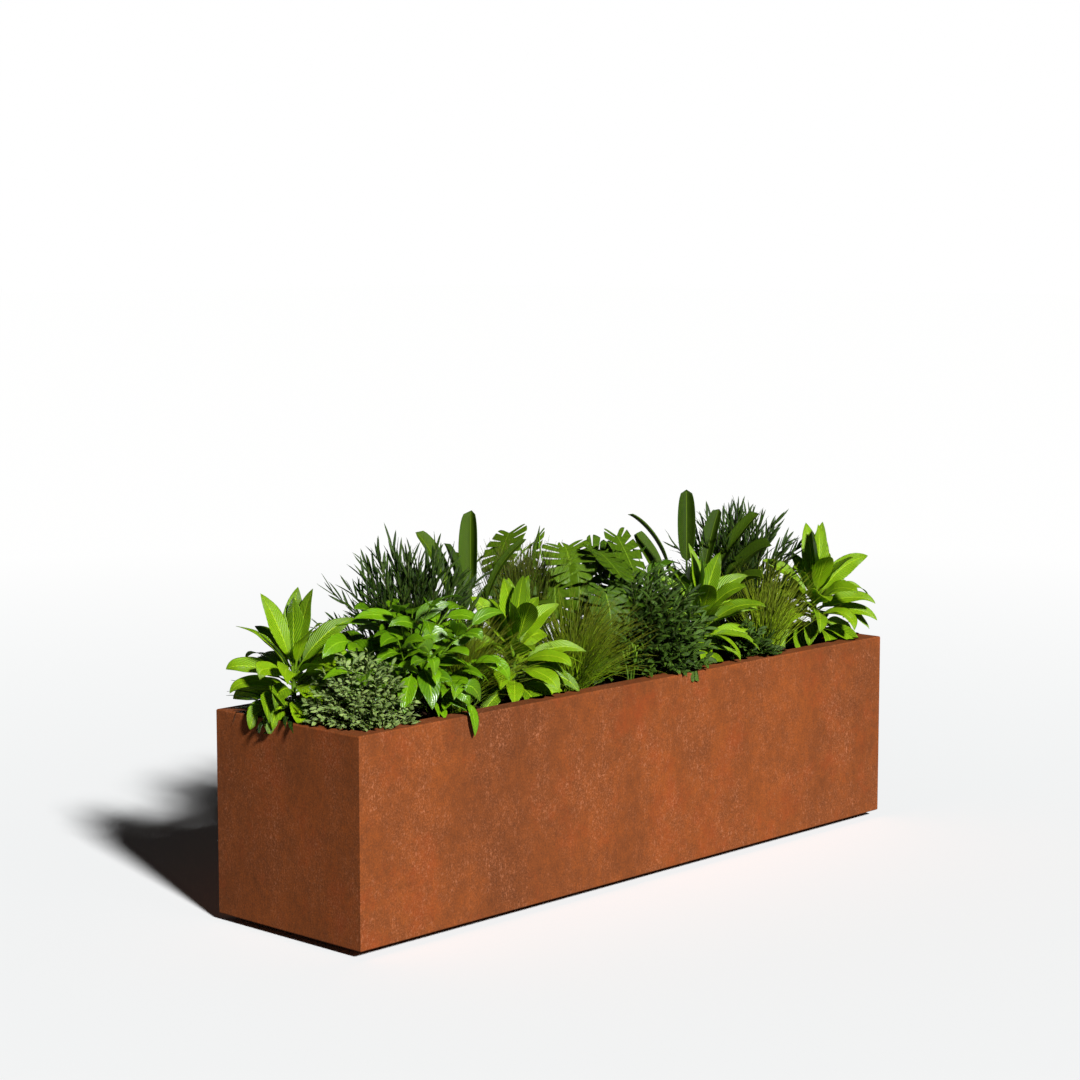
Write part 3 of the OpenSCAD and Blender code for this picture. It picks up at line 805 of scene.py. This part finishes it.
# for each whorl: how many leaves, where they start on the stem, rise in degrees, droop in
# radians, length and width as shares of the height, and the stalk's share of the length
ROSETTE = {
    "heart": (4, 0.40, 84, 0.30, 0.60, 0.160, 0.12),
    "young": (7, 0.37, 60, 0.80, 0.56, 0.158, 0.16),
    "grown": (10, 0.31, 38, 1.20, 0.56, 0.158, 0.18),
    "outer": (13, 0.24, 16, 1.25, 0.52, 0.150, 0.20),
    "skirt": (14, 0.16, 0, 1.05, 0.44, 0.138, 0.22),
}
FIRST_LEAF = 47  # degrees round the stem
WHORL_STEP = 0.9  # radians from one whorl to the next, so that leaves fill each other's gaps


def lime_rosette(node, seed, dx=0.0, dy=0.0, straps=0, outward=0.0, face=0.0, size=1.0):
    """Whorls of ribbed leaves up a short stem, and a few dark straps under them.

    Face turns the whorls and outward aims the straps, both in degrees.
    """
    rng = np.random.default_rng(seed)
    foot, tall = spot_of(node, dx, dy), crown_height(node) * size
    trunk = arcs(foot[None], np.array([0.0]), np.pi / 2, tall * 0.42, droop=0.0)
    sets = [(*stems(trunk, 0.006, 8), green_stem)]
    for place, (count, start, rise, droop, length, width, stalk) in enumerate(ROSETTE.values()):
        turn = around(count, rng, math.radians(FIRST_LEAF + face) + place * WHORL_STEP, 0.16)
        root = foot + np.stack([np.cos(turn), np.sin(turn), np.zeros(count)], -1) * 0.005
        root[:, 2] += tall * (start + rng.uniform(-0.03, 0.03, count))
        sets.append((*leaves(
            root, turn, np.radians(rise + rng.normal(0, 6, count)),
            tall * length * rng.uniform(0.86, 1.04, count),
            tall * width * rng.uniform(0.86, 1.12, count), (0.78, 0.90), rows=34, ring=14,
            stalk=stalk, stalk_r=0.0022, droop=droop * rng.uniform(0.75, 1.2, count), bow=1.6,
            sway=rng.normal(0, 0.3, count), roll=rng.normal(0, 0.25, count),
            twist=rng.normal(0, 0.25, count), fold=rng.uniform(0.12, 0.36, count),
            wave=rng.uniform(0.03, 0.10, count), waves=2.5, seek=0.5 if place else 0.9),
            lime_leaf))
    # painted shade: the straps' very dark finish stands for the shade under the rosette's leaves
    if straps:
        turn = math.radians(outward) + rng.normal(0, 0.75, straps)
        sets.append((*leaves(
            np.tile(foot, (straps, 1)), turn, rng.uniform(0.3, 0.9, straps),
            tall * rng.uniform(0.40, 0.60, straps), 0.016, (0.5, 0.8), rows=12, ring=6,
            stalk=0.25, droop=rng.uniform(0.7, 1.6, straps), fold=0.3), shaded_strap_leaf))
    knit(node, sets, node, rng)


lime_rosette("lime_rosette_back_left", 11, dx=-0.062, dy=-0.025, straps=22, outward=170, size=1.02)
lime_rosette("lime_rosette_front_left", 12, face=20, size=1.02)
lime_rosette("lime_rosette_front_middle", 13, dx=0.01, face=-15, size=1.02)
lime_rosette("lime_rosette_front_right", 14, dx=0.045, straps=26, outward=35, face=-70, size=1.06)

# %% [markdown]
# ## Dense shrubs
# The silver shrub is a ball of tiny leaves at the ends of many thin twigs, and the dark ones are
# the same thing with other leaves, narrower towards the top. A branching rule would fill the
# middle too, where nobody looks. Only the outside shows, so the twigs fan out to a dome and
# carry their leaves on the outer part. A few bright bare stalks stand beside the dark one.

# %% Domed shrubs
def shrub(node, seed, twigs, each, leaf, green, radius, level, flat=0.9, dx=0.0, dy=0.0,
          splay=1.1, shape=(0.55, 0.6), slim=0.0, extra=()):
    """Twigs to the surface of a dome, with small leaves in a spiral on their outer part.

    Dome: reach^2 = (radius cos(rise))^2 + (height * flat * sin(rise))^2.
    Slim makes leaves longer and narrower with height, and level below 1 lays them flatter.
    """
    rng = np.random.default_rng(seed)
    foot, tall = spot_of(node, dx, dy), crown_height(node)
    turn = np.arange(twigs) * GOLDEN
    rise = np.arcsin(np.linspace(0.06, 0.99, twigs)) + rng.normal(0, 0.06, twigs)
    reach = np.sqrt((radius * np.cos(rise)) ** 2 + (tall * flat * np.sin(rise)) ** 2)
    root = np.tile(foot, (twigs, 1)) + rng.normal(0, 0.008, (twigs, 3)) * (1, 1, 0)
    path = arcs(root, turn, rise + 0.25, reach * rng.uniform(0.82, 1.05, twigs),
                droop=0.45, sway=rng.normal(0, 0.3, twigs))
    spot, way, climb = seats(path, each, 0.38, splay, rng=rng, jitter=0.5)
    n = len(spot)
    high = np.clip((spot[:, 2] - foot[2]) / tall, 0, 1) * slim
    sets = [(*stems(path, np.linspace(0.0022, 0.0007, path.shape[1])), brown_twig)]
    sets.append((*leaves(
        spot, way, climb * level + 0.15, leaf[0] * (1 + 0.5 * high) * rng.uniform(0.65, 1.15, n),
        leaf[1] * (1 - 0.75 * high) * rng.uniform(0.75, 1.15, n), shape, rows=5, ring=6,
        stalk=0.1, stalk_r=0.0005, droop=rng.uniform(0.1, 0.7, n), fold=0.25,
        roll=rng.normal(0, 0.5, n), thick=0.0003, seek=0.6), green))
    knit(node, sets + list(extra), node, rng)


def tuft(foot, count, rng, length=0.11):
    """Bare bright stalks that rise together out of the ground."""
    turn = rng.uniform(0, 2 * np.pi, count)
    path = arcs(foot + rng.normal(0, 0.008, (count, 3)) * (1, 0.5, 0), turn,
                np.radians(rng.uniform(76, 88, count)), length * rng.uniform(0.8, 1.1, count), 0.15)
    return (*stems(path, 0.0022), green_stem)


shrub("silver_shrub", 21, 185, 15, (0.0225, 0.0105), silver_leaf, 0.130, 0.6, dx=-0.010,
      dy=-0.012, splay=1.2, shape=(0.6, 0.8))
bright = tuft(np.array([0.03, -0.165, MULCH_TOP]), 12, np.random.default_rng(31))
shrub("fine_shrub", 22, 200, 15, (0.036, 0.0165), fine_leaf, 0.190, 0.7, flat=1.02, dx=0.03,
      dy=0.02, shape=(0.5, 0.8), slim=0.9, extra=[bright])
shrub("low_shrub", 23, 70, 11, (0.027, 0.0140), fine_leaf, 0.080, 0.6, dy=-0.05)

# %% [markdown]
# ## Feather-leaved shrubs
# Two dark shrubs stand behind: stiff shoots fan up and out, each with narrow leaves all round it
# that point forward, like a bottle brush that has been combed. One list from -0.7 to 1 tells the
# shoots apart: below 0 they make the short skirt, and above it they grow longer and straighter.

# %% Feathers
def feather_shrub(node, seed, shoots, dx, dy, size=1.0):
    """A fountain of long shoots over a skirt of short ones, with narrow leaves in a spiral."""
    rng = np.random.default_rng(seed)
    foot, tall = spot_of(node, dx, dy), crown_height(node) * size
    turn = np.arange(shoots) * GOLDEN
    long = np.linspace(-0.7, 1, shoots)
    rise = np.radians(np.where(long > 0, 67 + 22 * long, 62 + 38 * long))
    droop = np.where(long > 0, 0.62 - 0.52 * long, 0.35)
    reach = tall * np.where(long > 0, 0.78 + 0.12 * long, 0.72 + 0.25 * long)
    path = arcs(np.tile(foot, (shoots, 1)), turn, rise + rng.normal(0, 0.05, shoots),
                reach * rng.uniform(0.85, 1.0, shoots), droop=droop, bow=1.5,
                sway=rng.normal(0, 0.2, shoots), steps=12)
    spot, way, climb = seats(path, 24, 0.34, 0.60, rng=rng, jitter=0.3)
    n = len(spot)
    sets = [(*stems(path, np.linspace(0.0032, 0.0010, path.shape[1])), brown_twig)]
    sets.append((*leaves(
        spot, way, climb + 0.05, rng.uniform(0.044, 0.070, n), 0.0070, (0.30, 0.60), rows=6,
        ring=6, stalk=0.04, stalk_r=0.0005, droop=rng.uniform(-0.15, 0.35, n), fold=0.15,
        roll=rng.normal(0, 0.5, n), thick=0.0003, seek=0.4), feather_leaf))
    knit(node, sets, node, rng)


feather_shrub("feather_shrub_left", 24, 78, dx=0.052, dy=-0.020)
feather_shrub("feather_shrub_right", 25, 80, dx=-0.035, dy=-0.01, size=0.97)

# %% [markdown]
# ## Paddle-leaved plants
# Each has a few tall stalks that open into long, blunt, leathery paddles. Young ones stand
# upright and half folded, and one or two bend over until the tip points away. There are so few
# that chance would rarely place them well, so each paddle is given its own turn and bend.

# %% Paddles
def paddle_plant(node, seed, turn, rise, droop, share, width):
    """Paddles given one by one: compass turn and rise in degrees, droop, share of the height."""
    rng = np.random.default_rng(seed)
    foot, tall = spot_of(node), crown_height(node)
    turn = np.radians(turn)
    n = len(turn)
    root = foot + np.stack([np.cos(turn), np.sin(turn), np.zeros(n)], -1) * 0.012
    sets = [(*leaves(
        root, turn, np.radians(rise), tall * np.asarray(share), width, (0.34, 0.30), rows=44,
        ring=14, stalk=0.56, stalk_r=0.0050, droop=droop, bow=2.4, sway=rng.normal(0, 0.15, n),
        roll=rng.normal(0, 0.3, n), fold=rng.uniform(0.45, 0.95, n),
        wave=rng.uniform(0.02, 0.05, n), waves=3, thick=0.0006, seek=0.25), paddle_leaf)]
    knit(node, sets, node, rng)


paddle_plant("paddle_plant_left", 41,
             turn=(47, 133, 150, -47, 70, 110, -60, -125),
             rise=(88, 82, 86, 87, 78, 70, 66, 66), droop=(0.05, 0.6, 0.3, 0.95, 0.3, 0.8, 1.2, 0.8),
             share=(1.0, 0.94, 0.84, 0.92, 0.78, 0.8, 0.70, 0.6),
             width=(0.052, 0.054, 0.042, 0.028, 0.046, 0.05, 0.046, 0.046))
paddle_plant("paddle_plant_right", 42,
             turn=(47, 133, -20, -47, -62, -80, -137, 165, 100),
             rise=(88, 83, 80, 72, 64, 58, 66, 60, 70),
             droop=(0.05, 0.95, 0.2, 0.5, 0.7, 0.9, 0.9, 1.1, 0.5),
             share=(0.98, 0.93, 0.88, 0.94, 0.86, 0.74, 0.70, 0.64, 0.8),
             width=(0.050, 0.034, 0.044, 0.058, 0.058, 0.054, 0.050, 0.050, 0.050))

# %% [markdown]
# ## Split-leaved plant
# Broad heart-shaped leaves on long stalks, cut from the edge two thirds of the way to the midrib.
# Cutting a finished leaf with a knife tool would leave ragged faces. Here the cuts are a comb of
# narrow dips in the half width, and a slant that grows from backward at the heart to forward at
# the tip bends the fingers the way they grow. Every third leaf sits low on a short stalk.

# %% Split leaves
FINGERS = 6.5
SLOT_EDGE, SLOT_SLOPE, SLOT_DEPTH = 0.77, 0.10, 0.68
SUN_SIDE = math.radians(-113)


def split_cut(s, v):
    """Narrow slots: where a comb in s is over its edge, the blade keeps a third of its width."""
    comb = np.abs(((s * FINGERS + 0.25) % 1.0) - 0.5) * 2
    slot = np.clip((comb - SLOT_EDGE) / SLOT_SLOPE, 0, 1) * (s > 0.10) * (s < 0.93)
    return (1 - SLOT_DEPTH * slot)[..., None] * np.ones_like(v)


def split_slant(s):
    """Fingers point back at the heart and forward at the tip."""
    return -0.75 + 1.55 * s


def split_leaf_plant(node, seed, count, dx, dy):
    """Bare stalks that arch out, each with one leaf that hangs and turns its face to the sun."""
    rng = np.random.default_rng(seed)
    foot, tall = spot_of(node, dx, dy), crown_height(node)
    turn = around(count, rng, 0.4, 0.25)
    low = np.arange(count) % 3 == 1
    rise = np.radians(np.where(low, rng.uniform(34, 60, count), rng.uniform(58, 86, count)))
    reach = tall * np.where(low, rng.uniform(0.40, 0.66, count), rng.uniform(0.70, 1.04, count))
    stalks = arcs(np.tile(foot, (count, 1)), turn, rise, reach, droop=0.5, steps=14)
    way = SUN_SIDE + 0.45 * ((turn - SUN_SIDE + np.pi) % (2 * np.pi) - np.pi)
    sets = [(*stems(stalks, np.linspace(0.0034, 0.0024, stalks.shape[1]), 6), green_stem)]
    sets.append((*leaves(
        stalks[:, -1], way, rng.uniform(-1.1, -0.2, count), rng.uniform(0.108, 0.132, count),
        rng.uniform(0.122, 0.148, count), (0.34, 0.50), rows=130, ring=16,
        droop=rng.uniform(0.2, 0.6, count), bow=1.0, fold=rng.uniform(0.03, 0.15, count),
        roll=rng.normal(0, 0.3, count), wave=0.03, slant=split_slant, cut=split_cut,
        thick=0.0006), split_leaf))
    knit(node, sets, node, rng)


split_leaf_plant("split_leaf_plant", 44, 33, dx=-0.105, dy=0.02)

# %% [markdown]
# ## Glossy and laurel leaves
# Broad shining leaves with a drawn-out tip, on green stems that arch out over their neighbours.
# The stems follow a rule like the shrubs'. The few big leaves at the front edge and the short
# trail that hangs over the front rim are listed one by one, because the eye goes there first.

# %% Broad leaves on arching stems
def leafy_plant(node, seed, count, each, leaf, green, dx=0.0, low=25, share=0.95, extra=()):
    """Arching stems, from the angle low to 82 degrees, with broad leaves on short stalks."""
    rng = np.random.default_rng(seed)
    foot, tall = spot_of(node, dx), crown_height(node)
    turn = np.arange(count) * GOLDEN
    rise = np.radians(np.linspace(low, 82, count))
    reach = tall * share * (0.55 + 0.45 * np.sin(rise)) * rng.uniform(0.85, 1.05, count)
    path = arcs(np.tile(foot, (count, 1)), turn, rise + 0.2, reach, droop=0.7, bow=1.6)
    sets = [(*stems(path, np.linspace(0.0030, 0.0014, path.shape[1]), 6), green_stem)]
    spot, way, climb = seats(path, each, 0.30, 1.0, rng=rng, jitter=0.5)
    n = len(spot)
    sets.append((*leaves(
        spot, way, climb * 0.6 + 0.1, leaf[0] * rng.uniform(0.75, 1.2, n),
        leaf[1] * rng.uniform(0.8, 1.15, n), (0.6, 1.05), rows=20, ring=12, stalk=0.14,
        stalk_r=0.0013, droop=rng.uniform(0.7, 1.6, n), bow=1.3, fold=rng.uniform(0.1, 0.35, n),
        roll=rng.normal(0, 0.35, n), wave=0.04, waves=2, seek=0.45), green))
    knit(node, sets + list(extra), node, rng)


front = np.array([(-0.735, -0.185, 0.15), (-0.700, -0.190, 0.12), (-0.770, -0.185, 0.14),
                  (-0.680, -0.180, 0.17), (-0.640, -0.190, 0.10)]) + (0, 0, MULCH_TOP)
broad = leaves(front, np.radians([-115, -60, -150, -40, -75]), [-0.5, -0.3, -0.6, 0.0, -0.2],
               [0.125, 0.10, 0.11, 0.10, 0.08], [0.060, 0.042, 0.048, 0.042, 0.034], (0.6, 1.0),
               rows=24, stalk=0.12, droop=[0.8, 1.0, 0.8, 1.3, 1.0], fold=0.15, wave=0.04)
trail = np.array([(-0.646, -0.236, 0.030), (-0.668, -0.205, 0.030), (-0.626, -0.200, 0.040),
                  (-0.690, -0.200, 0.016)]) + (0, 0, RIM_TOP)
hanging = leaves(trail, np.radians([-82, -150, -30, -120]), [-0.3, 0.3, 0.4, 0.1],
                 [0.090, 0.050, 0.046, 0.040], [0.032, 0.026, 0.022, 0.020], (0.55, 0.95), rows=24,
                 stalk=0.1, droop=[1.4, 0.8, 0.9, 0.9], bow=0.45, fold=0.2)
leafy_plant("glossy_plant", 51, 18, 10, (0.096, 0.042), glossy_leaf, dx=-0.025, share=0.90,
            extra=[(*broad, glossy_leaf)])
knit("hanging_vine", [(*hanging, glossy_leaf)], "glossy_plant", np.random.default_rng(50),
     loose=True)
leafy_plant("laurel", 52, 10, 8, (0.080, 0.036), laurel_leaf, low=40)

# %% [markdown]
# ## Grasses
# A clump of grass is three to six hundred blades from one small foot. Hair particles would draw
# it too, but they have no faces to export, so each blade is a leaf with a ring of only three
# points. The outer blades lie lower and arch further, and the tips dry to straw.

# %% Grass clumps
def grass(node, seed, count, green, low, width, lean=(0, 0), dx=0.0, share=1.1, arch=1.0):
    """Blades from a small foot, from the angle low upwards, leaning as a clump to lean (x, y)."""
    rng = np.random.default_rng(seed)
    foot, tall = spot_of(node, dx), crown_height(node)
    turn = rng.uniform(0, 2 * np.pi, count)
    rise = np.radians(low + (88 - low) * rng.random(count) ** 0.7)
    tilt = np.stack([np.cos(turn) * np.cos(rise), np.sin(turn) * np.cos(rise)], -1) + lean
    flat = np.linalg.norm(tilt, axis=-1)
    turn, rise = np.arctan2(tilt[:, 1], tilt[:, 0]), np.arctan2(np.sin(rise), flat)
    root = foot + np.stack([rng.normal(0, 0.013, count), rng.normal(0, 0.013, count),
                            np.zeros(count)], -1)
    sets = [(*leaves(
        root, turn, rise, tall * share * rng.uniform(0.6, 1.05, count),
        width * rng.uniform(0.7, 1.3, count), (0.12, 0.6), rows=9, ring=3,
        droop=arch * rng.uniform(0.2, 1.1, count), bow=1.7, sway=rng.normal(0, 0.3, count),
        thick=0.0004), green)]
    knit(node, sets, node, rng)


grass("olive_grass", 61, 520, olive_blade, 34, 0.0038, lean=(0.12, -0.05), dx=-0.045)
grass("arching_grass", 62, 560, olive_blade, 30, 0.0038, lean=(0.22, -0.05), arch=1.1)
grass("light_grass", 63, 350, light_blade, 40, 0.0044, lean=(0.20, 0.0), arch=0.8)
grass("tall_grass", 64, 640, red_blade, 64, 0.0052, dx=-0.04, share=1.0, arch=0.3)
